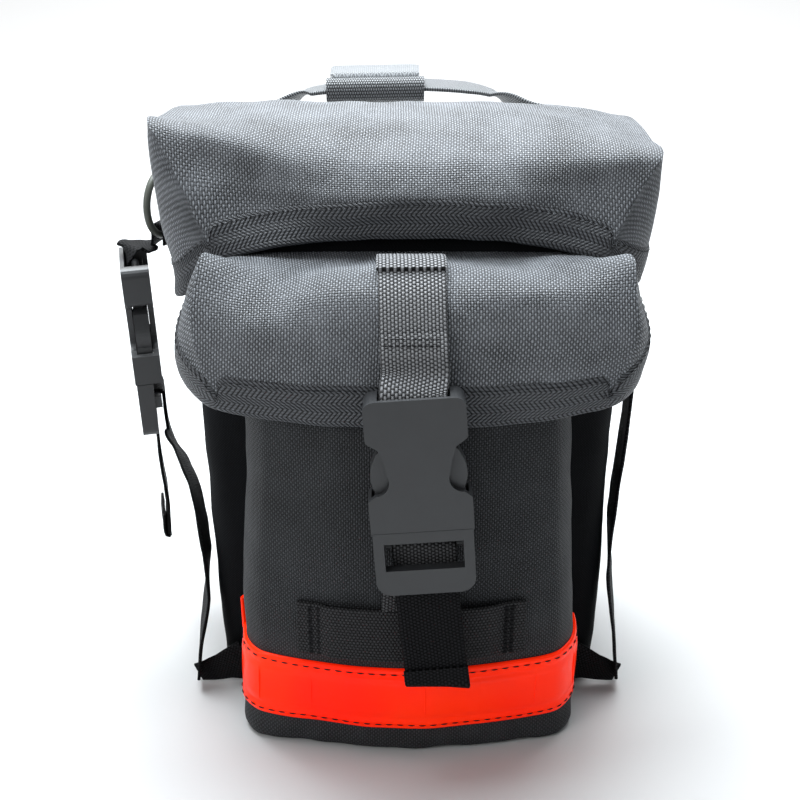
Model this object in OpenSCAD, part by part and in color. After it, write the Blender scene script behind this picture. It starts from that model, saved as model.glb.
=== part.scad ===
// Soft carrying bag for a portable radio: main compartment with a boxed lid,
// front pocket with a boxed flap, webbing, side-release buckles and harness straps.
// Frame: +Z up, front faces -Y, origin at the centre of the main compartment's base.

/* [Main compartment] */
// Outer width at the base
body_w_base = 166; // [160:1:170]
// Outer width at the rim
body_w_rim = 178; // [174:1:179]
// Outer depth, front to back
body_depth = 90; // [88:1:91]
// Height of the rim under the lid
body_h = 228; // [226:1:230]
// Thickness of padded fabric walls
wall = 2.6; // [2.2:0.1:2.8]

/* [Front pocket] */
// Pocket half width at the base
pocket_half_base = 70; // [68:1:71]
// Pocket half width at its mouth
pocket_half_top = 62; // [60:1:63]
// Height of the pocket mouth
pocket_h = 196; // [192:1:197]

/* [Webbing] */
// Width of all narrow webbing
web_w = 25; // [24:0.5:25]
// Thickness of narrow webbing
web_t = 1.5; // [1.2:0.1:1.6]

/* [Side-release buckle] */
// Width over the housing
buckle_w = 38.8; // [38:0.1:39.5]
// Thickness of the housing
buckle_t = 12; // [11.6:0.1:12.4]
// Length of both halves when latched
buckle_len = 80; // [79:0.5:81]

/* [Reflective band] */
// Height of the reflective tape
band_h = 29; // [26:1:30]
// Height of its lower edge above the base
band_z = 14; // [12:1:16]

/* [Hidden] */
$fn = 48;

gap = 0.3;              // running clearance between separate bodies
seam = 0.15;            // clearance between pieces sewn to one another
eps = 0.01;
slice = 0.02;           // thickness of a loft section
body_front = -body_depth / 2;
body_back = body_depth / 2;
base_t = 3;             // base panel thickness
lid_front = -50.5;      // outer face of the lid's front skirt
lid_top = 248;
lid_edge = 192;         // lowest edge of the lid's skirt
lid_arch_z = 213;       // lower edge of the skirt at mid front
lid_arch_r = 195;
binding_h = 14;
flap_hinge = [-56, 205];
flap_top = 206.5;
flap_edge = 151;
flap_half = 90;
pocket_mid_front = -96; // pocket front at its fullest height
pocket_top_front = -77;
fabric = "#2b2e33";
trim = "#1c1d20";
plastic = "#303236";
red = "#ff2a08";

// ---------- plan outlines and lofts ----------

function arc_points(c, r, a0, a1, n) = 
    [for (i = [0:n]) let (a = a0 + (a1 - a0) * i / n) c + r * [cos(a), sin(a)]];

// Rounded rectangle from y0 (front) to y1 (back)
function box_plan(half, y0, y1, r) = concat(
    arc_points([half - r, y0 + r], r, -90, 0, 6),
    arc_points([half - r, y1 - r], r, 0, 90, 6),
    arc_points([-half + r, y1 - r], r, 90, 180, 6),
    arc_points([-half + r, y0 + r], r, 180, 270, 6));

// Outline with a bowed front: sag is how far the front corners stand back
function bowed_plan(half, front, back, r, sag) = let (
    flat = half - r,
    bow = (flat * flat + sag * sag) / (2 * sag),
    reach = asin(flat / bow)) concat(
    arc_points([0, front + bow], bow, -90, -90 + reach, 6),
    arc_points([flat, front + sag + r], r, -60, 0, 6),
    [[half, back], [-half, back]],
    arc_points([-flat, front + sag + r], r, 180, 240, 6),
    arc_points([0, front + bow], bow, -90 - reach, -90 - reach / 6, 5));

module section(z, points) translate([0, 0, z]) linear_extrude(slice) polygon(points);

// Flat strip swept through a list of points. across gives the width direction at each.
module ribbon(path, across, width, thick) {
    last = len(path) - 1;
    corners = [for (i = [0:last]) let (
        along = path[min(i + 1, last)] - path[max(i - 1, 0)],
        t = along / norm(along),
        w0 = across[i] - (across[i] * t) * t,
        w = w0 / norm(w0),
        n = cross(t, w))
        for (s = [[-1, -1], [1, -1], [1, 1], [-1, 1]])
            path[i] + w * s[0] * width / 2 + n * s[1] * thick / 2];
    sides = [for (i = [0:last - 1]) for (k = [0:3]) let (
        a = 4 * i + k, b = 4 * i + (k + 1) % 4, c = b + 4, d = a + 4)
        for (tri = [[a, c, b], [a, d, c]]) tri];
    ends = [[0, 1, 2], [0, 2, 3],
        [4 * last + 2, 4 * last + 1, 4 * last], [4 * last + 3, 4 * last + 2, 4 * last]];
    polyhedron(corners, concat(ends, sides));
}

// ---------- main compartment ----------

module base_panel() color(fabric)
    linear_extrude(base_t) polygon(box_plan(body_w_base / 2, body_front, body_back, 10));

module base_board() color("#3a3a3c")
    translate([0, 0, base_t + seam]) linear_extrude(2)
        polygon(box_plan(body_w_base / 2 - wall - 1, body_front + wall + 1, body_back - wall - 1, 8));

module main_body_loft(inset, z0, z1) hull() {
    section(z0, box_plan(body_w_base / 2 - inset, body_front + inset, body_back - inset, 10 - inset));
    section(z1, box_plan(body_w_rim / 2 - inset, body_front + inset, body_back - inset, 12 - inset));
}

module main_body() color(fabric) difference() {
    main_body_loft(0, base_t + slice, body_h);
    main_body_loft(wall, base_t - 1, body_h + 1);
}

back_pad_t = 8;
module back_panel() color(trim)
    translate([0, body_back + seam, 0]) rotate([90, 0, 180])
        linear_extrude(back_pad_t) polygon(box_plan(80, 12, 232, 14));

module body_loop_strip() color(trim)
    translate([-32, body_front - seam - 0.7, 212]) cube([64, 0.7, 14]);

// ---------- front pocket ----------

module pocket_loft(inset, z0, z1) hull() {
    section(z0, bowed_plan(pocket_half_base - inset, -92 + inset, body_front + 3, 22 - inset, 7));
    section(50, bowed_plan(pocket_half_base - 0.6 - inset, pocket_mid_front + inset, body_front + 3,
        22 - inset, 8));
    section(95, bowed_plan(67.5 - inset, pocket_mid_front + 1.5 + inset, body_front + 3, 22 - inset, 8));
    section(z1, bowed_plan(pocket_half_top - inset, pocket_top_front + inset, body_front + 3, 16 - inset, 4));
}

module pocket_body() color(fabric) difference() {
    pocket_loft(0, 0, pocket_h);
    pocket_loft(wall, base_t, pocket_h + 1);
    translate([-100, body_front - 0.2, -1]) cube([200, 30, 300]);
}

module pocket_flap_yoke() color(fabric)
    translate([-48, flap_hinge[0] + gap, flap_hinge[1] - 2.6])
        cube([96, body_front - flap_hinge[0] - gap - 0.25, 2.2]);

// Tape wrapped around the pocket, drawn as a shell of the pocket's own loft
module reflective_band() color(red) intersection() {
    difference() {
        pocket_loft(-1.3, 0, pocket_h);
        pocket_loft(-0.25, -1, pocket_h + 1);
        translate([-100, body_front - 10, -1]) cube([200, 30, 300]);
    }
    translate([-100, -120, band_z]) cube([200, 80, band_h]);
}

// Curved front hardware follows one cylinder, whose radius matches the pocket's bow
front_bow_r = 118;
molle_y = pocket_mid_front - 1.4 - web_t;
module front_curve(y_out, thick, half, z0, h)
    intersection() {
        translate([0, y_out + front_bow_r, z0]) difference() {
            cylinder(r = front_bow_r, h = h, $fn = 96);
            translate([0, 0, -1]) cylinder(r = front_bow_r - thick, h = h + 2, $fn = 96);
        }
        translate([-half, y_out - 1, z0 - 1]) cube([2 * half, 40, h + 2]);
    }

molle_z = 48;
module molle_strip() color(trim) front_curve(molle_y - web_t, web_t, 40, molle_z, web_w);

// ---------- buckle, in its own frame: x width, y thickness (front -y), z length ----------

female_z = -13;         // lower edge of the housing
cavity_half = 18.2;     // half width of the cavity for the prongs
cavity_t = 3.5;         // half thickness of that cavity
loop_bar = [0.4, 33];   // y and z of the bar that the fixed webbing goes round
loop_bar_r = 1.7;
slot_half = web_w / 2 + 0.8;
ladder_bar = [3.2, -23];
ladder_bar_r = 1.4;
frame_half = 19;
frame_window = 15;
window_z = -29.5;
male_front = -5.5;
male_back = 1.6;

// Half of the housing outline, right side, from top to bottom
function housing_half() = concat(
    arc_points([buckle_w / 2 - 4.6, buckle_len / 2 - 4], 4, 90, 0, 5),
    [[buckle_w / 2 - 0.6, 26]],
    arc_points([buckle_w / 2 - 2.2, 25], 1.6, 0, -60, 3),
    [[14.4, 21], [12.6, 16]],
    arc_points([16.6, 8], 5.6, 180, 270, 6),
    [[buckle_w / 2, 0.2], [buckle_w / 2, female_z]]);

function housing_outline() = concat(
    [for (p = housing_half()) p],
    [for (i = [len(housing_half()) - 1:-1:0]) [-housing_half()[i][0], housing_half()[i][1]]]);

// Extrudes an outline drawn in x and z through the thickness y0 to y1
module plate(points, y0, y1)
    translate([0, y1, 0]) rotate([90, 0, 0]) linear_extrude(y1 - y0) polygon(points);

module buckle_female() color(plastic) {
    difference() {
        plate(housing_outline(), -buckle_t / 2, buckle_t / 2);
        translate([-cavity_half, -cavity_t, female_z - 1])
            cube([2 * cavity_half, 2 * cavity_t, 23 - female_z + 1]);
        translate([-slot_half, -4.2, 28]) cube([2 * slot_half, buckle_t, 13]);
    }
    translate([-slot_half - 0.5, loop_bar[0], loop_bar[1]]) rotate([0, 90, 0])
        cylinder(r = loop_bar_r, h = 2 * slot_half + 1);
}

module rounded_rect_plate(x0, x1, z0, z1, r, y0, y1) plate(concat(
    arc_points([x1 - r, z0 + r], r, -90, 0, 6), [[x1, z1], [x0, z1]],
    arc_points([x0 + r, z0 + r], r, 180, 270, 6)), y0, y1);

module buckle_male() color(plastic) {
    top = female_z - 0.4;
    difference() {
        rounded_rect_plate(-frame_half, frame_half, -buckle_len / 2, top, 6, male_front, male_back);
        translate([-frame_window, male_front - 1, window_z]) cube([2 * frame_window, 20, top - window_z - 4.6]);
        // the tail of the webbing passes behind the lower crossbar
        translate([-frame_window, -1, -buckle_len / 2 - 1])
            cube([2 * frame_window, 10, buckle_len / 2 + window_z + 2]);
    }
    // ladder bar on two cheeks at the back of the side arms
    for (s = [-1, 1]) translate([s * (frame_window + 1.5) - 1.5, male_back - eps, ladder_bar[1] - 2.5])
        cube([3, ladder_bar[0] + ladder_bar_r - male_back + eps, 5]);
    translate([-frame_window - 1, ladder_bar[0], ladder_bar[1]]) rotate([0, 90, 0])
        cylinder(r = ladder_bar_r, h = 2 * frame_window + 2);
    // root of the prongs and centre guide, inside the housing
    translate([-17.4, -2.8, top - 2]) cube([34.8, 4.4, 2 + 1.4]);
    translate([-2.4, -2.8, top]) cube([4.8, 4.4, 30]);
}

// Right prong with its thumb button. It clears the guide by the squeeze.
module prong() color(plastic) plate(concat(
    [[9.6, -11.6], [14.4, -11.6], [14.6, -4], [17.2, -0.6]],
    arc_points([4, 9.2], 14, -25, 25, 8),
    [[15.2, 18.4], [12.2, 20.6], [9.8, 17], [9.2, 4]]), -3.2, 3.2);

// ---------- where the two buckles are ----------

front_at = [4.2, -102.5, 128];
front_tilt = -3;        // lower end stands forward
front_roll = -4;        // upper end leans to -X
module place_front() translate(front_at) rotate([front_tilt, 0, 0]) rotate([0, front_roll, 0]) children();

side_at = [-119, 12, 142.5];
side_roll = -2;
side_yaw = 12.5;        // the housing is turned a little outwards
side_n = [cos(side_yaw), sin(side_yaw), 0];
side_w = [-sin(side_yaw), cos(side_yaw), 0];
module place_side() translate(side_at) rotate([0, side_roll, 0]) rotate([0, 0, side_yaw - 90]) children();

// A point of the side buckle's own frame, on its middle line, in the row frame
function side_pt(y, z) = side_at + [cos(side_roll) * side_n[0] * y + sin(side_roll) * z, side_n[1] * y,
    cos(side_roll) * z - sin(side_roll) * side_n[0] * y];
function side_bar(bar, r, a0, a1) = [for (i = [0:4]) let (a = a0 + (a1 - a0) * i / 4)
    side_pt(bar[0] + r * cos(a), bar[1] + r * sin(a))];

// Webbing bent round a bar: two legs up (or down) and a half ring, drawn in y and z.
module webbing_loop(bar, bar_r, up_front, up_back, up) {
    r0 = bar_r + 0.25;
    r1 = r0 + web_t;
    s = up ? 1 : -1;
    translate([-web_w / 2, 0, 0]) rotate([90, 0, 90]) linear_extrude(web_w) translate(bar) union() {
        intersection() {
            difference() { circle(r1); circle(r0); }
            translate([-r1 - 1, up ? -r1 - 1 : 0]) square([2 * r1 + 2, r1 + 1]);
        }
        translate([-r1, up ? -eps : -up_front]) square([web_t, up_front + eps]);
        translate([r0, up ? -eps : -up_back]) square([web_t, up_back + eps]);
    }
}

module front_buckle_female() place_front() buckle_female();
module front_buckle_male() place_front() buckle_male();
module front_prong_left() place_front() mirror([1, 0, 0]) prong();
module front_prong_right() place_front() prong();
module side_buckle_female() place_side() buckle_female();
module side_buckle_male() place_side() buckle_male();
module side_prong_rear() place_side() mirror([1, 0, 0]) prong();
module side_prong_front() place_side() prong();

module front_strap_loop() color(trim) place_front()
    webbing_loop(loop_bar, loop_bar_r, 4.5, 6, true);

strap_drop = 31;        // straight run of the anchored leg under the ladder bar
module closure_strap() color(trim) {
    place_front() webbing_loop(ladder_bar, ladder_bar_r, 18, strap_drop, false);
    ribbon([[1.9, -99, 78], [1.5, -98.4, 75.5], [1.3, -97.3, 71], [1, -97.1, 52]],
        [for (i = [0:3]) [1, 0, 0]], web_w, 1.3);
}

tail_len = 43;
module closure_tail() color(trim) place_front() {
    r1 = ladder_bar_r + 0.25 + web_t;
    translate([-web_w / 2, ladder_bar[0] - r1, ladder_bar[1] - 18 - seam - tail_len])
        cube([web_w, web_t, tail_len]);
    translate([-web_w / 2 - 0.5, ladder_bar[0] - r1 - web_t, ladder_bar[1] - 18 - seam - tail_len])
        cube([web_w + 1, web_t, 8]);
}

base_panel();
base_board();
main_body();
back_panel();
pocket_body();
pocket_flap_yoke();
reflective_band();
molle_strip();
closure_strap();
closure_tail();
body_loop_strip();

// ---------- lid of the main compartment ----------

module lid_loft(inset, y_end, z_low) hull() {
    section(z_low, box_plan(94.6 - inset, lid_front + inset, y_end, 7 - inset));
    section(229, box_plan(95.6 - inset, lid_front + 0.5 + inset, y_end, 6 - inset));
    section(239.5 - inset, box_plan(97 - inset, -42 + inset, y_end, 4 - inset));
    section(lid_top - 2 - inset, box_plan(96 - inset, -37 + inset, 12, 4 - inset));
}

// Front outline of the skirt's lower edge, raised by lift: arched in the middle
module lid_edge_cut(lift) translate([0, 100, 0]) rotate([90, 0, 0]) linear_extrude(200)
    polygon(concat([[-120, lid_edge + lift]],
        [for (i = [-8:8]) let (x = i * 11, drop = lid_arch_r * (cos(asin(x / lid_arch_r)) - 1))
            [x, max(lid_edge, lid_arch_z + drop) + lift]],
        [[120, lid_edge + lift], [120, 300], [-120, 300]]));

module lid_shell() color(fabric) intersection() {
    difference() {
        lid_loft(0, 44.9, 180);
        lid_loft(wall, 60, 170);
    }
    lid_edge_cut(0);
}

module lid_binding() color(trim) difference() {
    intersection() {
        difference() {
            lid_loft(-1.5, 44.9, 180);
            lid_loft(-0.35, 60, 170);
        }
        lid_edge_cut(0);
    }
    lid_edge_cut(binding_h);
}

module lid_hook_strip() color(trim)
    translate([-30, lid_front + wall + 0.7, 214]) cube([60, 0.7, 12]);

// ---------- flap of the front pocket ----------

module flap_loft(inset, y_end) hull() {
    section(148, bowed_plan(86 - inset, -91.4 + inset, y_end, 22 - inset, 15));
    section(176, bowed_plan(flap_half - 1 - inset, -90.6 + inset, y_end, 20 - inset, 14));
    section(198 - inset, bowed_plan(81 - inset, -86.5 + inset, y_end, 12 - inset, 12));
    section(flap_top - inset, bowed_plan(77 - inset, -80 + inset, y_end, 10 - inset, 8));
}

module flap_edge_cut(lift) translate([0, 100, 0]) rotate([90, 0, 0]) linear_extrude(300)
    polygon([[-120, 176 + lift], [-86, 172 + lift], [-70, 160 + lift], [-50, 153 + lift],
        [-25, flap_edge + lift], [25, flap_edge + lift], [50, 153 + lift], [70, 160 + lift],
        [86, 172 + lift], [120, 176 + lift], [120, 300], [-120, 300]]);

module flap_shell() color(fabric) intersection() {
    difference() {
        flap_loft(0, flap_hinge[0] - gap);
        flap_loft(wall, -40);
    }
    flap_edge_cut(0);
}

module flap_binding() color(trim) difference() {
    intersection() {
        difference() {
            flap_loft(-1.5, flap_hinge[0] - gap);
            flap_loft(-0.4, -40);
        }
        flap_edge_cut(0);
    }
    flap_edge_cut(16);
}

// Webbing sewn over the flap, from its root over the ridge to the buckle
module flap_strap() color(trim) ribbon(
    [[1, -60, flap_top + 1.1], [1, -78.8, flap_top + 1.1], [1.2, -81.8, flap_top + 0.4],
     [1.6, -88.2, 198.2], [2, -92.5, 180], [2.2, -94.4, 172.8]],
    [for (i = [0:5]) [1, 0, 0]], web_w, web_t);

// ---------- handle ----------

module handle_anchors() color(trim) for (x = [-80, 62.4])
    translate([x, body_back + seam + back_pad_t + seam, 220]) cube([11.6, web_t, 14]);

module handle_strap() color("#3c3e42") ribbon(
    [[-68, 66.5, 237], [-58, 67.5, 241], [-45, 68, 244], [-20, 68, 246], [5, 68, 246.5],
     [28, 68, 245], [48, 67.5, 241], [58, 66.5, 236.5], [62, 66, 233.5]],
    [for (i = [0:8]) [0, 1, -0.1]], 22, web_t);

module handle_wrap() color("#4a4d52") translate([-36, 68, 245.6]) rotate([0, -0.8, 0]) rotate([90, 0, 90])
    linear_extrude(43) difference() {
        polygon(box_plan(13, -9.5, 8.5, 5));
        polygon(box_plan(11.9, -2.4, 2.6, 0.8));
    }

// ---------- side hardware ----------

ring_r = 14;
ring_wire = 1.6;
// The left ring stands off the side, the right one lies flat against it
function ring_at(s) = s < 0 ? [-107, 22, 204] : [100.8, 30, 197];
function ring_out(s) = s < 0 ? [-0.94, 0.35, 0] : [1, 0, 0];
function ring_along(s) = s < 0 ? [0.35, 0.94, 0] : [0, 1, 0];

module d_ring(s) color("#7b8071") translate(ring_at(s)) rotate([0, 0, s < 0 ? -20.4 : 0])
    rotate([0, 90, 0]) rotate_extrude() translate([ring_r, 0]) circle(ring_wire);
module d_ring_left() d_ring(-1);
module d_ring_right() d_ring(1);

// Folded tabs holding the rings, sewn on the rear corners of the main compartment
module d_ring_tab(points, z) color(trim)
    ribbon([for (p = points) [p[0], p[1], z]], [for (p = points) [0, 0, 1]], 15, 1.2);
module d_ring_tab_left() d_ring_tab([[-82, 46.6], [-90, 46.5], [-96.4, 45.3], [-98.9, 41.5], [-98.9, 37],
    [-99.5, 34.2], [-100.6, 30.9], [-102.2, 29.4], [-104.4, 29.2], [-105.8, 30.8], [-106, 33], [-104.8, 36.4],
    [-103.6, 39], [-102, 42]], 206);
module d_ring_tab_right() d_ring_tab([[82, 46.6], [90, 46.5], [96.4, 46], [98.2, 43.6], [98.2, 41],
    [98.9, 38.7], [100.8, 37.7], [102.8, 38.7], [103.5, 41], [103.5, 44.4],
    [102.4, 47.3], [99.6, 48.6], [96, 48.6]], 199);

// Points round the lower side of a ring, from the outer leg to the inner one
function ring_pass(s) = let (
    p = ring_at(s) - [0, 0, ring_r], n = ring_out(s), r = ring_wire + 1.2, rise = 3.6)
    [p + n * r, p + n * r + [0, 0, rise], p + n * r * 0.7 + [0, 0, r * 0.7 + rise], p + [0, 0, r + rise],
     p - n * r * 0.7 + [0, 0, r * 0.7 + rise], p - n * r + [0, 0, rise], p - n * r];

module side_strap_loop() color(trim) ribbon(
    concat([[-104.6, 20.9, 186.4]], [for (i = [6:-1:0]) ring_pass(-1)[i]],
        [[-110.3, 23.2, 186.9], [-113, 23.6, 184.9], [-118.3, 18.6, 185.2], side_pt(-1.4, 44.6),
         side_pt(-2.4, 40)],
        side_bar(loop_bar, 2.65, -180, 0), [side_pt(3, 37.5)]),
    concat([for (i = [0:8]) ring_along(-1)], [[0.2, 1, 0], [-0.3, 1, 0], [-0.7, 0.7, 0]],
        [for (i = [0:6]) side_w]), 15, 1.2);

module side_lower_strap() color(trim) ribbon(
    concat([side_pt(0.75, -42)], side_bar(ladder_bar, 2.45, 180, 0),
        [side_pt(5.6, -41), [-110.2, 10.5, 95.5], [-103.5, -1, 90.5], [-95.5, -18, 82], [-90, -33, 62],
        [-89.8, -40, 42], [-93, -44.5, 22], [-94.8, -46.6, 5]]),
    concat([for (i = [0:6]) side_w], [[-0.2, 0.95, -0.2], [0, 0.9, -0.5], [0, 0.9, -0.3], [0, 0.9, -0.1],
        [-0.2, 0.9, 0], [-0.12, 0.9, 0], [-0.1, 0.9, 0]]), 19, 1.4);

module side_tail() color(trim) translate(side_pt(0.8, -42.3)) rotate([0, 0, side_yaw])
    translate([-web_t / 2, -11, -54]) cube([web_t, 22, 54]);

module side_strap_right() color(trim) ribbon(
    concat([[97.6, 29.5, 168], [98, 30, 176]], [for (i = [6:-1:0]) ring_pass(1)[i]],
        [[103.4, 29.6, 177], [101.6, 26, 166], [98.5, 4, 146], [95.2, -20, 126], [89.6, -34, 80],
        [89.4, -40, 55], [92.8, -44.5, 25], [94.8, -46.6, 5]]),
    concat([for (i = [0:8]) ring_along(1)], [[0, 1, 0], [0, 1, -0.1], [0, 1, -0.4], [0, 1, -0.3],
        [0, 0.9, -0.2], [0.2, 0.9, 0], [0.12, 0.9, 0], [0.1, 0.9, 0]]), 17, 1.4);

// Wing sewn in the seam between pocket and main compartment; the strap's lower end is sewn to its tip
module bottom_tab(s) color(trim) translate([0, -49.2, 0]) rotate([90, 0, 0]) linear_extrude(1.4)
    polygon([for (p = [[72.6, 2], [92.3, 3], [91.5, 11], [84, 17], [72.6, 24]]) [s * p[0], p[1]]]);
module bottom_tab_left() bottom_tab(-1);
module bottom_tab_right() bottom_tab(1);

lid_shell();
lid_binding();
lid_hook_strip();
flap_shell();
flap_binding();
flap_strap();
front_strap_loop();
front_buckle_female();
front_buckle_male();
front_prong_left();
front_prong_right();
handle_anchors();
handle_strap();
handle_wrap();
side_strap_loop();
side_buckle_female();
side_buckle_male();
side_prong_front();
side_prong_rear();
side_lower_strap();
side_tail();
side_strap_right();
d_ring_tab_left();
d_ring_tab_right();
d_ring_left();
d_ring_right();
bottom_tab_left();
bottom_tab_right();
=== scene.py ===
import math

import bmesh
import bpy
import numpy as np
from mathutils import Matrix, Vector, noise


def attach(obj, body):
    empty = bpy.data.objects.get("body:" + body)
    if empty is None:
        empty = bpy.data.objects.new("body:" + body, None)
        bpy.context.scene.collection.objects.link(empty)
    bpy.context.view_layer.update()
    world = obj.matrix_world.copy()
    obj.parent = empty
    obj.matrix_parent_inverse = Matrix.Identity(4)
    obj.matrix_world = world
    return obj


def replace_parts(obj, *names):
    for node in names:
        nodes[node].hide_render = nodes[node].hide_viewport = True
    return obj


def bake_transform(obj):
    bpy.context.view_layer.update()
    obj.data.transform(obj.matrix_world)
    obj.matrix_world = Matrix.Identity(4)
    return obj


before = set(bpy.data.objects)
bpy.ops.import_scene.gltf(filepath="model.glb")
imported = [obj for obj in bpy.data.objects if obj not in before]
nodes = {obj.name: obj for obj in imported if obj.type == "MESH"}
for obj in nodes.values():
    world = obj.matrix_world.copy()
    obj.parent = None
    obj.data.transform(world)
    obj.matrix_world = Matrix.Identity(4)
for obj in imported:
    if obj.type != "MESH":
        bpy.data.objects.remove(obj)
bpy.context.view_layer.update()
MM = 0.001


# ---------------------------------------------------------------- curves and grids (millimetres)

def distances(points):
    """Length along a polyline at each of its points."""
    return np.concatenate([[0], np.cumsum(np.linalg.norm(np.diff(points, axis=0), axis=1))])


def along(points, s, want):
    """Points of a polyline at the wanted lengths, where s holds the length at each of its points."""
    return np.stack([np.interp(want, s, points[:, k]) for k in range(3)], axis=1)


def hermite(a, b, slope_a, slope_b, t):
    """Point at share t between a and b, on a cubic with the given slopes at its ends."""
    t2, t3 = t * t, t * t * t
    near = (2 * t3 - 3 * t2 + 1) * a + (t3 - 2 * t2 + t) * slope_a
    return near + (3 * t2 - 2 * t3) * b + (t3 - t2) * slope_b


def resample(points, count, closed=False):
    """Points spaced evenly along a smooth curve through the given ones."""
    p = np.array(points, float)
    if len(p) == 2:
        t = np.linspace(0, 1, count)[:, None]
        return p[0] * (1 - t) + p[1] * t
    if closed:
        ext = np.vstack([p[-2], p, p[1]])
    else:
        ext = np.vstack([2 * p[0] - p[1], p, 2 * p[-1] - p[-2]])
    fine = []
    for i in range(1, len(ext) - 2):
        a, b, c, d = ext[i - 1], ext[i], ext[i + 1], ext[i + 2]
        ab = max(np.linalg.norm(b - a), 1e-6)
        bc = max(np.linalg.norm(c - b), 1e-6)
        cd = max(np.linalg.norm(d - c), 1e-6)
        m1 = (c - a) / (ab + bc) * bc
        m2 = (d - b) / (bc + cd) * bc
        for t in np.linspace(0, 1, 24, endpoint=False):
            fine.append(hermite(b, c, m1, m2, t))
    fine.append(ext[-2])
    fine = np.array(fine)
    s = distances(fine)
    return along(fine, s, np.linspace(0, s[-1], count))


def loft(rows, nu, nv, closed=False):
    """Smooth grid, nv by nu, through rows of points."""
    r = np.array([resample(row, nu, closed) for row in rows])
    gaps = np.linalg.norm(np.diff(r, axis=0), axis=2).mean(axis=1)
    knots = np.concatenate([[0], np.cumsum(gaps)])
    want = np.linspace(0, knots[-1], nv)
    out = np.zeros((nv, nu, 3))
    ext = np.concatenate([[2 * r[0] - r[1]], r, [2 * r[-1] - r[-2]]])
    ek = np.concatenate([[-gaps[0]], knots, [knots[-1] + gaps[-1]]])
    for j, w in enumerate(want):
        i = int(np.clip(np.searchsorted(knots, w, side="right"), 1, len(knots) - 1))
        t = (w - knots[i - 1]) / (knots[i] - knots[i - 1])
        h = knots[i] - knots[i - 1]
        m1 = (ext[i + 1] - ext[i - 1]) / (ek[i + 1] - ek[i - 1]) * h
        m2 = (ext[i + 2] - ext[i]) / (ek[i + 2] - ek[i]) * h
        out[j] = hermite(ext[i], ext[i + 1], m1, m2, t)
    return out


def grid_normals(g):
    du = np.gradient(g, axis=1)
    dv = np.gradient(g, axis=0)
    n = np.cross(du, dv)
    return n / np.maximum(np.linalg.norm(n, axis=2, keepdims=True), 1e-9)


def ruffle(g, amount, size, seed, hold=None):
    """Moves a grid along its normals by smooth noise. hold is 0 where it stays put."""
    n = grid_normals(g)
    out = g.copy()
    for j in range(g.shape[0]):
        for i in range(g.shape[1]):
            p = Vector(g[j, i] / size) + Vector((seed * 7.3, seed * 3.1, seed * 5.7))
            w = noise.noise(p) * amount * (1 if hold is None else hold[j, i])
            out[j, i] += n[j, i] * w
    return out


def smooth_rows(g, times):
    """Evens a grid out along its first way. Its two end rows stay put."""
    for _ in range(times):
        g[1:-1] = (g[:-2] + 2 * g[1:-1] + g[2:]) / 4


def edge_hold(g, left=True, right=True, start=True, end=True, reach=0.12):
    """Weights for ruffle: 0 on the chosen edges, rising to 1 within reach, a share of the grid's size."""
    nv, nu = g.shape[:2]
    u = np.linspace(0, 1, nu)[None, :]
    v = np.linspace(0, 1, nv)[:, None]
    w = np.ones((nv, nu))
    if left:
        w = w * np.clip(u / reach, 0, 1)
    if right:
        w = w * np.clip((1 - u) / reach, 0, 1)
    if start:
        w = w * np.clip(v / reach, 0, 1)
    if end:
        w = w * np.clip((1 - v) / reach, 0, 1)
    return w * w * (3 - 2 * w)


def grid_uv(g, turn=False):
    """Texture coordinates in real lengths, millimetres, along the grid's two ways."""
    nv, nu = g.shape[:2]
    lu = np.linalg.norm(np.diff(g, axis=1), axis=2)
    lv = np.linalg.norm(np.diff(g, axis=0), axis=2)
    u = np.concatenate([np.zeros((nv, 1)), np.cumsum(lu, axis=1)], axis=1)
    u = u - u[:, nu // 2][:, None]
    v = np.concatenate([[0], np.cumsum(lv.mean(axis=1))])[:, None] * np.ones((1, nu))
    return np.stack([v, u], axis=2) if turn else np.stack([u, v], axis=2)


# ---------------------------------------------------------------- meshes

def build(name, patches, material, smooth=True, weld=0.15):
    """One mesh object from grids in millimetres. Each patch is a grid or (grid, uv)."""
    verts, faces, uvs = [], [], []
    for patch in patches:
        g, uv = patch if isinstance(patch, tuple) else (patch, grid_uv(patch))
        nv, nu = g.shape[:2]
        base = len(verts)
        verts.extend(map(tuple, (g * MM).reshape(-1, 3)))
        flat = uv.reshape(-1, 2) * MM
        for j in range(nv - 1):
            for i in range(nu - 1):
                a = base + j * nu + i
                quad = (a, a + 1, a + nu + 1, a + nu)
                faces.append(quad)
                uvs.extend(flat[q - base] for q in quad)
    mesh = bpy.data.meshes.new(name)
    mesh.from_pydata(verts, [], faces)
    layer = mesh.uv_layers.new(name="UVMap")
    layer.data.foreach_set("uv", np.array(uvs, np.float32).reshape(-1))
    bm = bmesh.new()
    bm.from_mesh(mesh)
    bmesh.ops.remove_doubles(bm, verts=bm.verts, dist=weld * MM)
    bmesh.ops.dissolve_degenerate(bm, dist=0.00001, edges=bm.edges)
    bm.to_mesh(mesh)
    bm.free()
    if smooth:
        mesh.polygons.foreach_set("use_smooth", [True] * len(mesh.polygons))
    obj = bpy.data.objects.new(name, mesh)
    bpy.context.scene.collection.objects.link(obj)
    mesh.materials.append(material)
    return obj


def any_edge(edge):
    return True


def clean(obj, fill=None, sides=0):
    """Turns the faces outwards, after filling holes that pass the fill test and have at most sides edges."""
    bm = bmesh.new()
    bm.from_mesh(obj.data)
    if fill:
        open_edges = [e for e in bm.edges if e.is_boundary and fill(e)]
        bmesh.ops.holes_fill(bm, edges=open_edges, sides=sides)
    bmesh.ops.recalc_face_normals(bm, faces=bm.faces)
    bm.to_mesh(obj.data)
    bm.free()


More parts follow.
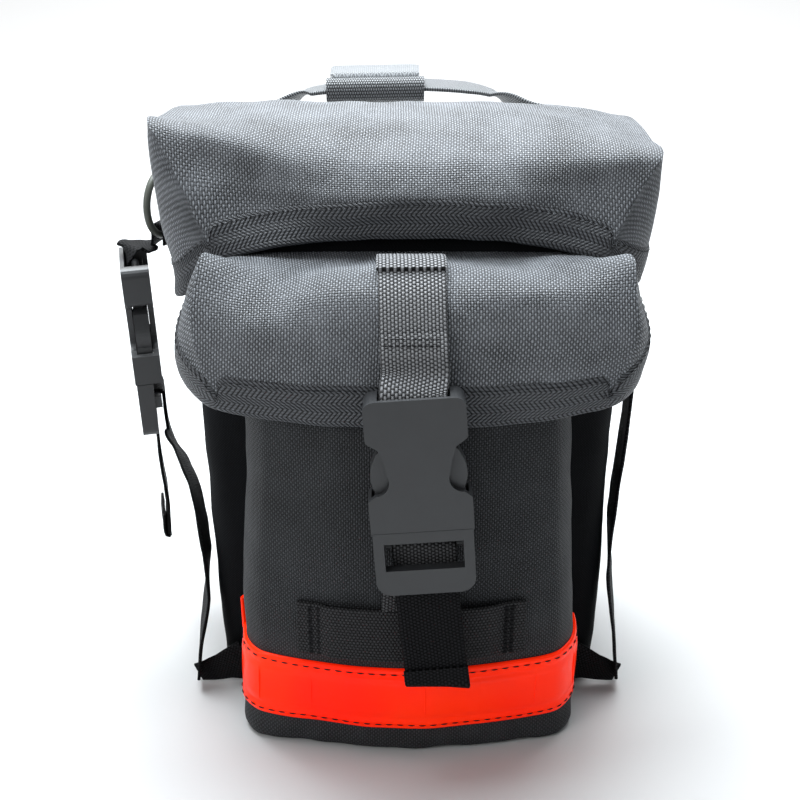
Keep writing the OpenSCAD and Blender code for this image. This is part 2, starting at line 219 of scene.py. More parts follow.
def settle(obj):
    """Applies the object's modifiers."""
    graph = bpy.context.evaluated_depsgraph_get()
    graph.update()
    mesh = bpy.data.meshes.new_from_object(obj.evaluated_get(graph), depsgraph=graph)
    obj.modifiers.clear()
    old = obj.data
    obj.data = mesh
    bpy.data.meshes.remove(old)
    mesh.name = obj.name
    return obj


def thicken(obj, thick, outward=0.0):
    m = obj.modifiers.new("thick", "SOLIDIFY")
    m.thickness = thick * MM
    m.offset = outward
    m.use_even_offset = False
    return settle(obj)


def creased(obj, angle=35):
    """Smooth shading, broken at edges sharper than angle."""
    bm = bmesh.new()
    bm.from_mesh(obj.data)
    for e in bm.edges:
        if len(e.link_faces) == 2:
            e.smooth = e.calc_face_angle(0) < math.radians(angle)
    bm.to_mesh(obj.data)
    bm.free()
    return obj


FACE_POINTS = 11        # points across each face of a strap
STRAP_STEP = 1.6        # length of a strap's rows


def strap_grid(path, across, width, thick):
    """Closed cross-section swept along a path, with a widthways vector for each point of the path.

    Returns the grid and its uv, with u across and v along.
    """
    path = np.array(path, float)
    length = np.linalg.norm(np.diff(path, axis=0), axis=1).sum()
    n = max(int(length / STRAP_STEP), 6)
    p = resample(path, n)
    s = distances(path)
    a = along(np.array(across, float), s, np.linspace(0, s[-1], n))
    t = np.gradient(p, axis=0)
    t /= np.linalg.norm(t, axis=1, keepdims=True)
    w = a - (a * t).sum(axis=1, keepdims=True) * t
    w /= np.linalg.norm(w, axis=1, keepdims=True)
    m = np.cross(t, w)
    half, h = width / 2, thick / 2
    ring = []
    for k in range(FACE_POINTS):
        ring.append((-half + h * 0.8 + (width - 1.6 * h) * k / (FACE_POINTS - 1), -h))
    ring += [(half - h * 0.2, -h * 0.62), (half, 0), (half - h * 0.2, h * 0.62)]
    for k in range(FACE_POINTS):
        ring.append((half - h * 0.8 - (width - 1.6 * h) * k / (FACE_POINTS - 1), h))
    ring += [(-half + h * 0.2, h * 0.62), (-half, 0), (-half + h * 0.2, -h * 0.62)]
    ring.append(ring[0])
    ring = np.array(ring)
    g = p[:, None, :] + w[:, None, :] * ring[None, :, :1] + m[:, None, :] * ring[None, :, 1:]
    run = distances(p)
    across_uv = np.repeat(ring[None, :, 0], n, axis=0)
    return g, np.stack([across_uv, np.repeat(run[:, None], len(ring), axis=1)], axis=2)


def cap(g, uv, at):
    """Closes the end of a strap with a strip between its two faces."""
    row, c = g[at], uv[at]
    far = FACE_POINTS + 3
    return np.stack([row[:FACE_POINTS], row[far:far + FACE_POINTS][::-1]]), np.stack([c[:FACE_POINTS]] * 2)


def strap(name, path, across, width, thick, body, material, wobble=0.12, seed=1):
    g, uv = strap_grid(path, across, width, thick)
    if wobble:
        g = ruffle(g, wobble, 9.0, seed)
        g[:, -1] = g[:, 0]
    obj = build(name, [(g, uv), cap(g, uv, 0), cap(g, uv, -1)], material, weld=0.02)
    clean(obj, any_edge, 12)
    creased(obj, 50)
    if body:
        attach(obj, body)
    return obj


THREAD_SHARES = (0.25, 0.9, 1.0, 0.9, 0.25)        # radius of a stitch along its length, over its middle
SIDES = 6                                          # sides of a stitch


def stitch_mesh(name, runs, body, material, length, gap, radius, lift=0.12):
    """Short thread segments along runs of (points, normals)."""
    verts, faces = [], []
    for pts, nrm in runs:
        pts = np.array(pts, float)
        nrm = np.array(nrm, float)
        s = distances(pts)
        at = 0.0
        while at + length <= s[-1] + 0.01:
            q = [along(pts, s, [at + length * f])[0] for f in (0, 0.25, 0.5, 0.75, 1)]
            n = along(nrm, s, [at + length / 2])[0]
            n /= max(np.linalg.norm(n), 1e-9)
            d = q[-1] - q[0]
            d /= max(np.linalg.norm(d), 1e-9)
            b = np.cross(d, n)
            base = len(verts)
            for f, c in zip(THREAD_SHARES, q):
                mid = c + n * (lift + radius * (f - 0.8))
                for a in range(SIDES):
                    ang = a * math.pi / 3
                    verts.append(tuple((mid + (n * math.sin(ang) + b * math.cos(ang)) * radius * f) * MM))
            last = len(THREAD_SHARES) - 1
            for r in range(last):
                row = base + r * SIDES
                for a in range(SIDES):
                    a2 = (a + 1) % SIDES
                    faces.append((row + a, row + a2, row + SIDES + a2, row + SIDES + a))
            faces.append(tuple(base + a for a in range(SIDES - 1, -1, -1)))
            faces.append(tuple(base + last * SIDES + a for a in range(SIDES)))
            at += length + gap
    mesh = bpy.data.meshes.new(name)
    mesh.from_pydata(verts, [], faces)
    mesh.polygons.foreach_set("use_smooth", [True] * len(mesh.polygons))
    mesh.materials.append(material)
    obj = bpy.data.objects.new(name, mesh)
    bpy.context.scene.collection.objects.link(obj)
    if body:
        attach(obj, body)
    return obj


# ---------------------------------------------------------------- materials

class Shade:
    """A Principled material and a short way to write its node maths."""

    def __init__(self, name, rough=0.6, specular=0.5, coat=0.0):
        self.mat = bpy.data.materials.new(name)
        self.mat.use_nodes = True
        self.tree = self.mat.node_tree
        self.bsdf = self.tree.nodes["Principled BSDF"]
        self.bsdf.inputs["Roughness"].default_value = rough
        self.bsdf.inputs["Specular IOR Level"].default_value = specular
        self.bsdf.inputs["Coat Weight"].default_value = coat

    def node(self, kind, **values):
        n = self.tree.nodes.new(kind)
        for k, v in values.items():
            setattr(n, k, v)
        return n

    def put(self, socket, value):
        if hasattr(value, "is_output"):
            self.tree.links.new(value, socket)
        else:
            socket.default_value = value

    def math(self, op, a, b=None, c=None):
        n = self.node("ShaderNodeMath", operation=op)
        for s, v in zip(n.inputs, (a, b, c)):
            if v is not None:
                self.put(s, v)
        return n.outputs[0]

    def uv(self, pitch_u, pitch_v):
        """U and V counted in repeats of the given pitch, in millimetres."""
        t = self.node("ShaderNodeUVMap", uv_map="UVMap")
        s = self.node("ShaderNodeSeparateXYZ")
        self.tree.links.new(t.outputs[0], s.inputs[0])
        across = self.math("MULTIPLY", s.outputs[0], 1000 / pitch_u)
        return across, self.math("MULTIPLY", s.outputs[1], 1000 / pitch_v)

    def noise(self, scale, detail=3, rough=0.5, coords="Object", distortion=0.0):
        t = self.node("ShaderNodeTexCoord")
        n = self.node("ShaderNodeTexNoise")
        n.inputs["Scale"].default_value = scale
        n.inputs["Detail"].default_value = detail
        n.inputs["Roughness"].default_value = rough
        n.inputs["Distortion"].default_value = distortion
        self.tree.links.new(t.outputs[coords], n.inputs["Vector"])
        return n.outputs["Fac"]

    def wave(self, x, phase=0.0):
        return self.math("SINE", self.math("MULTIPLY_ADD", x, math.pi, phase))

    def weave(self, u, v, weft=0.75):
        """Height of a plain weave, 0 to 1. weft scales the threads that run the other way."""
        a = self.math("ABSOLUTE", self.wave(u))
        s = self.wave(self.math("ADD", v, self.math("FLOOR", u)))
        over = self.math("MULTIPLY", a, self.math("MULTIPLY_ADD", s, 0.5, 0.5))
        b = self.math("ABSOLUTE", self.wave(v))
        r = self.wave(self.math("ADD", u, self.math("FLOOR", v)))
        under = self.math("MULTIPLY", b, self.math("MULTIPLY_ADD", r, -0.5 * weft, 0.5 * weft))
        return self.math("MAXIMUM", over, under)

    def ramp(self, fac, stops):
        n = self.node("ShaderNodeValToRGB")
        while len(n.color_ramp.elements) < len(stops):
            n.color_ramp.elements.new(0.5)
        for e, (pos, col) in zip(n.color_ramp.elements, stops):
            e.position = pos
            e.color = (*col, 1)
        self.put(n.inputs[0], fac)
        return n.outputs[0]

    def mix(self, fac, a, b):
        n = self.node("ShaderNodeMix", data_type="RGBA")
        self.put(n.inputs[0], fac)
        for i, v in ((6, a), (7, b)):
            if hasattr(v, "is_output"):
                self.tree.links.new(v, n.inputs[i])
            else:
                n.inputs[i].default_value = (*v, 1)
        return n.outputs[2]

    def finish(self, color, height=None, strength=0.4, distance=0.3, rough=None):
        self.put(self.bsdf.inputs["Base Color"], color if hasattr(color, "is_output") else (*color, 1))
        if rough is not None:
            self.put(self.bsdf.inputs["Roughness"], rough)
        if height is not None:
            b = self.node("ShaderNodeBump")
            b.inputs["Strength"].default_value = strength
            b.inputs["Distance"].default_value = distance * MM
            self.put(b.inputs["Height"], height)
            self.tree.links.new(b.outputs[0], self.bsdf.inputs["Normal"])
        return self.mat


def canvas_material(name, pitch, low, high, strength, rough=0.5, specular=0.25):
    s = Shade(name, rough, specular)
    u, v = s.uv(pitch, pitch)
    u = s.math("MULTIPLY_ADD", s.noise(500, 2), 0.7, u)
    v = s.math("MULTIPLY_ADD", s.noise(600, 2, distortion=0.3), 0.7, v)
    h = s.weave(u, v)
    peak_light_gap_shade = s.weave(u, v, 0.35)
    mottle = s.noise(60, 5, 0.6)
    fine = s.noise(2600, 3, 0.6)
    # painted highlight and shade: the raised dots of the weave are painted lighter as speckled highlights, and
    # the gaps between them darker as shade
    fac = s.math("MULTIPLY_ADD", fine, 0.25, s.math("MULTIPLY", peak_light_gap_shade, 0.65))
    fac = s.math("MULTIPLY_ADD", mottle, 0.35, fac)
    color = s.ramp(fac, [(0.32, low), (0.92, high)])
    height = s.math("MULTIPLY_ADD", fine, 0.2, h)
    rough_map = s.math("MULTIPLY_ADD", mottle, 0.25, rough - 0.12)
    return s.finish(color, height, strength, 0.4, rough_map)


def webbing_material(name, low, high, pu=1.35, pv=1.5, strength=0.9, rough=0.45, specular=0.35):
    s = Shade(name, rough, specular)
    u, v = s.uv(pu, pv)
    shift = s.math("MULTIPLY", s.math("FLOORED_MODULO", s.math("FLOOR", u), 2.0), 0.5)
    rib = s.math("POWER", s.math("ABSOLUTE", s.wave(s.math("ADD", v, shift))), 0.8)
    col = s.math("POWER", s.math("ABSOLUTE", s.wave(u)), 0.6)
    h = s.math("MULTIPLY", rib, col)
    fine = s.noise(3000, 2, 0.6)
    # painted highlight: the colour follows the rib height, so the rib peaks are painted lighter as glints of
    # the top light
    fac = s.math("MULTIPLY_ADD", h, 0.75, s.math("MULTIPLY", fine, 0.3))
    color = s.ramp(fac, [(0.25, low), (1.0, high)])
    return s.finish(color, s.math("MULTIPLY_ADD", fine, 0.12, h), strength, 0.5)


def tape_material(name, low, high, strength=0.8, pitch=1.0, specular=0.3):
    """Herringbone tape."""
    s = Shade(name, 0.5, specular)
    u, v = s.uv(pitch, pitch)
    zig = s.math("PINGPONG", v, 3.2)
    h = s.math("POWER", s.math("ABSOLUTE", s.wave(s.math("MULTIPLY", s.math("ADD", u, zig), 0.62))), 0.8)
    cross_thread = s.math("ABSOLUTE", s.wave(s.math("MULTIPLY", v, 0.9)))
    h = s.math("MULTIPLY", h, s.math("MULTIPLY_ADD", cross_thread, 0.5, 0.5))
    fine = s.noise(3200, 2, 0.6)
    fac = s.math("MULTIPLY_ADD", h, 0.75, s.math("MULTIPLY", fine, 0.25))
    color = s.ramp(fac, [(0.22, low), (0.95, high)])
    return s.finish(color, h, strength, 0.45)


def plastic_material(name, base, rough=0.42, grain=0.12, specular=0.4):
    s = Shade(name, rough, specular)
    n = s.noise(2400, 2, 0.5)
    m = s.noise(90, 4, 0.6)
    color = s.mix(m, tuple(c * 0.82 for c in base), tuple(c * 1.25 for c in base))
    return s.finish(color, n, grain, 0.15, s.math("MULTIPLY_ADD", m, 0.16, rough - 0.08))


BLACK = (0.001, 0.001, 0.001)
# one cloth painted lit and shaded: canvas, the lid's and flap's copy, is painted lighter where the top light
# falls; the pocket's copy and the body's copy below it are painted darker as the shade below the lid and along
# the body's sides
canvas = canvas_material("canvas", 1.05, (0.003, 0.0035, 0.004), (0.270, 0.285, 0.310), 1.0, 0.5, 0.3)
shaded_pocket_canvas = canvas_material("shaded_pocket_canvas", 0.95, (0.002, 0.0022, 0.0025), (0.055, 0.058, 0.063),
                                0.8, 0.55, 0.2)
shaded_side_cloth = canvas_material("shaded_side_cloth", 0.6, (0.0015, 0.0017, 0.002), (0.010, 0.011, 0.013),
                             0.3, 0.65, 0.06)
mesh_cloth = canvas_material("mesh_cloth", 2.2, (0.002, 0.002, 0.0025), (0.020, 0.021, 0.024), 0.9, 0.75, 0.1)
tape = tape_material("binding_tape", BLACK, (0.120, 0.126, 0.138), 1.0, 1.15, 0.25)
# one webbing painted lit and shaded: webbing is the lit copy, and the three darker copies below it paint the
# shade that falls under the flap, on the pocket's front and along the body's sides
webbing = webbing_material("webbing", BLACK, (0.300, 0.305, 0.320), strength=1.0)
shaded_webbing = webbing_material("shaded_webbing", BLACK, (0.018, 0.018, 0.020),
                                strength=0.8, rough=0.6, specular=0.06)
shaded_molle_webbing = webbing_material("shaded_molle_webbing", BLACK, (0.045, 0.045, 0.048), rough=0.5, specular=0.15)
shaded_closure_cloth = webbing_material("closure_webbing", BLACK, (0.085, 0.085, 0.089), rough=0.5, specular=0.2)
grey_webbing = webbing_material("grey_webbing", (0.004, 0.004, 0.005), (0.330, 0.345, 0.360), pu=1.4, pv=1.1)
twill = tape_material("grip_twill", (0.04, 0.042, 0.045), (0.240, 0.255, 0.270), 0.4, 0.8)
plastic = plastic_material("buckle_plastic", (0.028, 0.029, 0.031), specular=0.45)
ring_plastic = plastic_material("ring_plastic", (0.075, 0.080, 0.068), specular=0.3)
thread = plastic_material("thread", (0.005, 0.005, 0.006), 0.6, specular=0.15)
hook_cloth = canvas_material("hook_loop", 1.4, (0.003, 0.003, 0.004), (0.014, 0.014, 0.015), 1.0, 0.8, 0.1)
board = plastic_material("board", (0.02, 0.02, 0.02), 0.6)


def reflective_material():
    s = Shade("reflective_tape", 0.24, 0.12, coat=0.06)
    s.bsdf.inputs["Coat Roughness"].default_value = 0.12
    u, v = s.uv(1.1, 1.1)
    cell = s.math("MULTIPLY", s.wave(u), s.wave(v))
    big = s.noise(18, 3, 0.5)
    color = s.ramp(big, [(0.32, (0.95, 0.010, 0.0005)), (0.68, (1.0, 0.030, 0.001))])
    # painted glow: the tape gives off red light of its own, standing in for the light that its coating throws
    # back
    s.bsdf.inputs["Emission Color"].default_value = (1.0, 0.016, 0.0, 1)
    s.bsdf.inputs["Emission Strength"].default_value = 0.3
    return s.finish(color, s.math("MULTIPLY_ADD", cell, 0.05, s.noise(40, 4)), 0.25, 0.4)


reflective = reflective_material()


# ---------------------------------------------------------------- main compartment

def box_ring(half, y0, y1, r, z, sides=0.0):
    """Closed loop of a rounded rectangle, with its two side faces bowed outwards."""
    pts = []
    corners = ((half - r, y0 + r, -90), (half - r, y1 - r, 0),
               (-half + r, y1 - r, 90), (-half + r, y0 + r, 180))
    for cx, cy, a0 in corners:
        for k in range(5):
            a = math.radians(a0 + 90 * k / 4)
            pts.append([cx + r * math.cos(a), cy + r * math.sin(a), z])
        if a0 == -90:
            for f in (0.25, 0.5, 0.75):
                pts.append([half + sides * math.sin(math.pi * f), y0 + r + (y1 - y0 - 2 * r) * f, z])
        elif a0 == 0:
            for f in (0.2, 0.4, 0.6, 0.8):
                pts.append([half - r - (2 * half - 2 * r) * f, y1, z])
        elif a0 == 90:
            for f in (0.25, 0.5, 0.75):
                pts.append([-half - sides * math.sin(math.pi * f), y1 - r - (y1 - y0 - 2 * r) * f, z])
        else:
            for f in (0.2, 0.4, 0.6, 0.8):
                pts.append([-half + r + (2 * half - 2 * r) * f, y0, z])
    pts.append(pts[0])
    return pts


def main_body():
    rows = [box_ring(30, -12, 12, 10, 1.2), box_ring(72, -34, 34, 10, 0.8), box_ring(80, -42, 42, 9, 0.8),
            box_ring(82.8, -44.6, 44.6, 9, 3.5), box_ring(84.0, -44.6, 44.8, 9, 12, 0.8),
            box_ring(85.2, -44.6, 44.8, 9, 50, 1.8), box_ring(86.4, -44.6, 44.8, 10, 110, 2.2),
            box_ring(87, -44.6, 44.8, 11, 170, 1.2), box_ring(88, -44.2, 44.8, 14, 203, 0.4),
            box_ring(87, -41.5, 44.8, 18, 214, 0.2), box_ring(86.4, -38.5, 44.8, 20, 225)]
    g = loft(rows, 220, 110, closed=True)
    hold = edge_hold(g, left=False, right=False, reach=0.14)
    g = ruffle(g, 1.5, 38, 3, hold)
    g = ruffle(g, 0.5, 14, 5, hold)
    g[:, -1] = g[:, 0]
    obj = build("main_compartment", [g], shaded_side_cloth)
    clean(obj, lambda edge: edge.verts[0].co.z < 0.01)
    thicken(obj, 2.2, -1)
    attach(obj, "bag")
    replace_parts(obj, "main_body", "base_panel")


main_body()

# the pad's rounded edge and face: how far in from its outline, and how far back
pad_section = ((2.2, 45.3), (0.3, 45.8), (0, 48), (0.8, 50.4), (3.2, 52.2), (8, 52.9), (26, 53.0), (60, 52.4))
back_rows = []
for inset, y in pad_section:
    outline = box_ring(80 - inset, 12 + inset, 231.5 - inset, max(14 - inset, 2), 0)
    back_rows.append([[across, y, up] for across, up, _ in outline])
g = loft(back_rows, 180, 46, closed=True)
g[:, -1] = g[:, 0]
back = build("back_panel_pad", [(g, g[..., [0, 2]])], mesh_cloth)
clean(back, any_edge)
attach(back, "bag")
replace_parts(back, "back_panel")


# ---------------------------------------------------------------- lids: a front and top sheet with two gussets

def gusset(edge, low, bow, nv):
    """Grid between a sheet's side edge and the gusset's own lower edge, both running rear to front."""
    n = len(edge)
    b = resample(low, n)
    b[-1] = edge[-1]
    swell = np.sin(np.linspace(0.12, 1, n) * math.pi)[:, None]
    rows = []
    for j in range(nv):
        f = j / (nv - 1)
        rows.append(edge * (1 - f) + b * f + np.array([bow, 0, 0]) * math.sin(math.pi * f) * swell)
    return np.array(rows)


def lid_like(name, rows, low_left, low_right, nu, nv, bow, seed, amount):
    """A lid of canvas: its sheet from rear to front, and the gussets whose lower edges are given."""
    sheet = loft(rows, nu, nv)
    hold = edge_hold(sheet, reach=0.1)
    sheet = ruffle(sheet, amount, 42, seed, hold)
    sheet = ruffle(sheet, amount * 0.45, 17, seed + 1, hold)
    sheet = ruffle(sheet, 0.12, 5, seed + 2, hold)
    left = gusset(sheet[:, 0], low_left, -bow, 34)
    right = gusset(sheet[:, -1], low_right, bow, 34)
    left = ruffle(left, amount * 0.8, 26, seed + 3, edge_hold(left, reach=0.1))
    right = ruffle(right, amount * 0.8, 26, seed + 4, edge_hold(right, reach=0.1))
    obj = build(name, [sheet, left, right], canvas)
    clean(obj)
    thicken(obj, 2.0, -1)
    creased(obj, 55)
    return obj, sheet, left, right


lid_rows = [
    [(-84, 46.4, 230), (-40, 46.6, 230), (0, 46.6, 230), (40, 46.6, 230), (84, 46.4, 230)],
    [(-92, 45.6, 236), (-45, 46.2, 237), (0, 46.2, 237), (45, 46.2, 237), (91, 45.6, 235)],
    [(-96, 36, 243), (-48, 36, 243.5), (0, 36, 243), (48, 36, 243.5), (95, 36, 239)],
    [(-97.5, 12, 247.5), (-50, 10, 248.6), (0, 10, 247.6), (50, 10, 248.4), (96.5, 12, 241)],
    [(-98.5, -16, 250), (-52, -18, 248), (0, -20, 246.4), (52, -18, 247), (97.5, -14, 240)],
    [(-99.5, -36, 252.2), (-72, -35, 246), (-35, -41, 240.5), (0, -41, 239.5), (40, -40, 240),
     (74, -37, 239), (98.5, -33, 238.5)],
    [(-90, -43, 236), (-66, -40.5, 231), (-34, -49, 229), (0, -50.5, 228.5), (36, -49, 229),
     (68, -42.5, 228), (89, -41, 226)],
    [(-81, -49, 217), (-60, -44.6, 218.5), (-30, -50.4, 220.5), (0, -51.4, 221), (32, -51, 220.5),
     (60, -47.2, 217.5), (81, -47, 212)],
    [(-74, -51.5, 203), (-50, -51.2, 208.5), (-26, -51.4, 210.8), (0, -51.5, 211.4), (28, -51.4, 211),
     (54, -51, 208), (75, -50, 202)],
]
lid_low_left = [
    (-86, 46, 226), (-93.6, 42, 190), (-94, 20, 184.5), (-94, -10, 183.5), (-93.5, -34, 183.5),
    (-90.5, -45.5, 186), (-82, -50, 195), (-74, -51.5, 203)
]
lid_low_right = [
    (86, 46, 226), (93.6, 42, 192), (94, 20, 187.5), (94, -10, 187), (93.3, -32, 188), (90, -42.5, 190.5),
    (83, -47.5, 196.5), (75, -50, 202)
]
lid, *lid_grids = lid_like("lid_cover", lid_rows, lid_low_left, lid_low_right, 150, 110, 1.6, 11, 2.2)
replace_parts(lid, "lid_shell")
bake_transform(lid)

flap_rows = [
    [(-60, -45.6, 203.6), (0, -45.6, 203.8), (60, -45.6, 203.6)],
    [(-71, -57, 205), (-35, -57, 202.6), (0, -57, 204.8), (36, -57, 203.8), (74, -57, 205)],
    [(-77, -69, 210.4), (-50, -70, 201.6), (-25, -72, 204.6), (0, -72, 206.6), (28, -72, 205.8),
     (56, -71, 203.8), (83, -68.5, 209.6)],
    [(-79.5, -78, 199.4), (-56, -80, 196), (-28, -83.3, 199.8), (0, -84, 200.8), (30, -83.5, 200.5),
     (60, -81, 199.5), (84, -77, 198)],
    [(-80, -84, 184), (-56, -87.5, 186), (-28, -89.5, 187), (0, -90, 187.5), (30, -89.5, 187),
     (60, -87, 186), (84.5, -83, 184)],
    [(-76, -86.5, 170), (-52, -89.8, 170), (-26, -91.6, 170), (0, -92.2, 170), (28, -91.6, 170),
     (56, -89.5, 170), (79, -85.5, 170)],
    [(-69, -86.5, 154.8), (-50, -89.8, 152.6), (-26, -91.8, 151.4), (0, -92.4, 151.2), (28, -91.8, 151.4),
     (52, -89.6, 152.8), (72, -86, 155.4)],
]
flap_low_left = [
    (-62, -46, 200), (-78, -58, 184), (-89.5, -61, 170), (-88, -69, 163), (-83, -77, 158.5),
    (-76, -83.5, 156), (-69, -86.5, 154.8)
]
flap_low_right = [
    (62, -46, 200), (80, -58, 186), (91, -61, 172), (90, -69, 164.5), (85.5, -76.5, 159), (79, -83, 156.6),
    (72, -86, 155.4)
]
flap, *flap_grids = lid_like("pocket_flap_cover", flap_rows, flap_low_left, flap_low_right,
                             140, 90, 3.2, 23, 1.3)
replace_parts(flap, "flap_shell", "pocket_flap_yoke")
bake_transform(flap)


# ---------------------------------------------------------------- bindings

def walk(cols, reach, steps):
    """For each column polyline (from its lower end up) the points at even distances up to reach."""
    out = []
    for c in cols:
        s = distances(c)
        out.append(along(c, s, np.linspace(0, min(reach, s[-1]), steps)))
    return np.array(out)


TAPE_ROWS = 9           # rows across each face of the binding tape


def binding(name, sheet, left, right, width, replaced, body, skip):
    """Tape folded over the lower edge of a lid, from one rear corner round the front to the other.

    skip is how many columns of each gusset stay bare at the rear.
    """
    n = sheet.shape[0]
    cols = [left[::-1][:, i] for i in range(skip, n - 1)]
    cols += [sheet[::-1][:, i] for i in range(0, sheet.shape[1])]
    cols += [right[::-1][:, i] for i in range(n - 2, skip, -1)]
    k = walk(cols, width, TAPE_ROWS)
    s = distances(k[:, 0])
    want = np.linspace(0, s[-1], int(s[-1] / 1.8))
    g = np.stack([along(k[:, j], s, want) for j in range(TAPE_ROWS)], axis=1)
    smooth_rows(g, 6)
    nrm = grid_normals(g)
    centre = g.reshape(-1, 3).mean(axis=0)
    if ((g - centre) * nrm).sum() < 0:
        nrm = -nrm
    down = g[:, 0] - g[:, 1]
    down /= np.maximum(np.linalg.norm(down, axis=1, keepdims=True), 1e-9)
    top = TAPE_ROWS - 1
    profile = []
    for j in range(top, -1, -1):
        lift = 0.25 if j == top else 0.85
        profile.append(g[:, j] + nrm[:, j] * lift)
    for lift, drop in ((0.5, 0.7), (-1.0, 1.1), (-2.4, 0.7)):
        profile.append(g[:, 0] + nrm[:, 0] * lift + down * drop)
    for j in range(TAPE_ROWS):
        lift = 2.2 if j == top else 2.9
        profile.append(g[:, j] - nrm[:, j] * lift)
    m = ruffle(np.stack(profile, axis=1), 0.35, 11, 4)
    obj = build(name, [(m, grid_uv(m, turn=True))], tape)
    creased(obj, 60)
    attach(obj, body)
    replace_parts(obj, replaced)
    run = (g[:, top - 1] + nrm[:, top - 1] * 0.9, nrm[:, top - 1])
    stitch_mesh(name + "_stitches", [run], body, thread, 2.0, 0.9, 0.17, lift=0.05)


binding("lid_binding_tape", *lid_grids, 14.5, "lid_binding", "lid", 22)
binding("flap_binding_tape", *flap_grids, 16, "flap_binding", "flap", 24)


# ---------------------------------------------------------------- front pocket

POCKET_BACK = -45.2


def pocket_ring(half, front, r, z, sag):
    """The pocket's outline at one height, from its left rear edge round the front to the right one."""
    back = POCKET_BACK
    flat = half - r
    pts = [(-half, back, z), (-half, (back + front + sag + r) / 2, z)]
    for k in range(4):
        a = math.radians(180 + 60 * k / 3)
        pts.append((-flat + r * math.cos(a), front + sag + r + r * math.sin(a), z))
    for x in (-0.75, -0.4, 0, 0.4, 0.75):
        pts.append((x * flat, front + sag * (x * x), z))
    for k in range(4):
        a = math.radians(-60 + 60 * k / 3)
        pts.append((flat + r * math.cos(a), front + sag + r + r * math.sin(a), z))
    pts += [(half, (back + front + sag + r) / 2, z), (half, back, z)]
    return pts


pocket_rows = [
    pocket_ring(45, -60, 10, 0.9, 4), pocket_ring(67.6, -92, 13, 0.5, 7), pocket_ring(70, -95, 15, 1.8, 7),
    pocket_ring(70.3, -95.6, 17, 8, 7.5), pocket_ring(70, -96, 20, 22, 8),
    pocket_ring(69.6, -96.3, 20, 48, 8), pocket_ring(68, -95.4, 20, 80, 8),
    pocket_ring(66.5, -91.8, 20, 118, 7.5), pocket_ring(65, -86.6, 19, 150, 6.5),
    pocket_ring(62.4, -78, 16, 192, 4.5), pocket_ring(62, -77, 16, 196, 4),
]
pg = loft(pocket_rows, 170, 130)
# the cloth stays calm behind the webbing row
calm = np.clip(np.abs(pg[..., 2] - 62) / 22 - 0.5, 0.15, 1) + np.clip(np.abs(pg[..., 0]) / 20 - 2.2, 0, 1)
hold = edge_hold(pg, reach=0.08) * np.clip(calm, 0, 1)
pg = ruffle(pg, 2.0, 45, 31, hold)
pg = ruffle(pg, 0.7, 16, 33, hold)
pg = ruffle(pg, 0.9, 11, 35, hold * np.clip((16 - pg[..., 2]) / 8, 0, 1))
pocket = build("pocket_shell", [pg], shaded_pocket_canvas)
clean(pocket)
thicken(pocket, 2.2, -1)
creased(pocket, 55)
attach(pocket, "bag")
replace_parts(pocket, "pocket_body")


def pocket_at(x_share, z):
    """Point and outward normal on the pocket: share 0 to 1 along its ring, height z."""
    i = int(round(x_share * (pg.shape[1] - 1)))
    col = pg[:, i]
    start = int(np.argmin(np.abs(col[:, 2] - 8)))
    zs = col[start:, 2]
    p = along(col[start:], zs, [z])[0]
    j = start + int(np.clip(np.searchsorted(zs, z), 1, len(zs) - 1))
    n = pg_normals[min(j, pg.shape[0] - 1), i]
    return p, n


pg_normals = grid_normals(pg)
if pg_normals[70, 85][1] > 0:
    pg_normals = -pg_normals


BAND_Z = 13
BAND_H = 30
BAND_COLUMNS = 240


def band_at(f, share):
    """Point and normal on the pocket behind the band: f along the pocket's ring, share of the band's height.

    The band is sewn a little higher towards its ends.
    """
    return pocket_at(f, BAND_Z + BAND_H * share + 4.5 * abs(2 * f - 1) ** 4)


# the tape's section: share of its height, and lift off the pocket
band_profile = [(0, 0.1), (0, 0.9), (0.03, 1.5), (0.12, 1.6), (0.16, 1.3), (0.19, 1.3), (0.22, 1.9), (0.3, 2.1),
                (0.5, 2.2), (0.7, 2.1), (0.78, 1.9), (0.81, 1.3), (0.84, 1.3), (0.88, 1.6), (0.97, 1.5),
                (1, 0.9), (1, 0.1)]

band_g = np.zeros((BAND_COLUMNS, len(band_profile), 3))
for a in range(BAND_COLUMNS):
    f = 0.09 + (0.93 - 0.09) * a / (BAND_COLUMNS - 1)
    for b, (share, lift) in enumerate(band_profile):
        p, n = band_at(f, share)
        band_g[a, b] = p + n * lift
smooth_rows(band_g, 4)
band = build("reflective_band_tape", [band_g], reflective)
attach(band, "bag")
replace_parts(band, "reflective_band")
runs = []
for share in (0.075, 0.925):
    pts, nrm = [], []
    for a in range(120):
        p, n = band_at(0.1 + 0.82 * a / 119, share)
        pts.append(p + n * 1.6)
        nrm.append(n)
    runs.append((pts, nrm))
stitch_mesh("band_stitches", runs, "bag", thread, 3.0, 1.6, 0.3)
ribs = []
for share in (0.2, 0.31, 0.42, 0.53, 0.64, 0.75, 0.85):
    p0, n0 = band_at(share, 0.22)
    p1, n1 = band_at(share, 0.78)
    ribs.append((np.array([p0 + n0 * 2.05, p1 + n1 * 2.05]), np.array([n0, n1])))
left_end = []
for z in (41, 46, 51, 57):
    p, n = pocket_at(0.095, z)
    left_end.append(p + n * 0.9)
strap("band_end", left_end, [(0.5, 1, 0)] * 4, 3.2, 1.6, "bag", reflective,
      wobble=0.2, seed=20)
stitch_mesh("band_segments", ribs, "bag", reflective, 16.5, 1, 0.28)


# ---------------------------------------------------------------- molle strip, closure strap and buckles

FRONT_AT = (4.2, -102.5, 128)
FRONT_ROLL = math.radians(-4)
FRONT_TILT = math.radians(-3)
LADDER = (3.2, -23)     # the bar that webbing turns round, in a buckle's own y and z


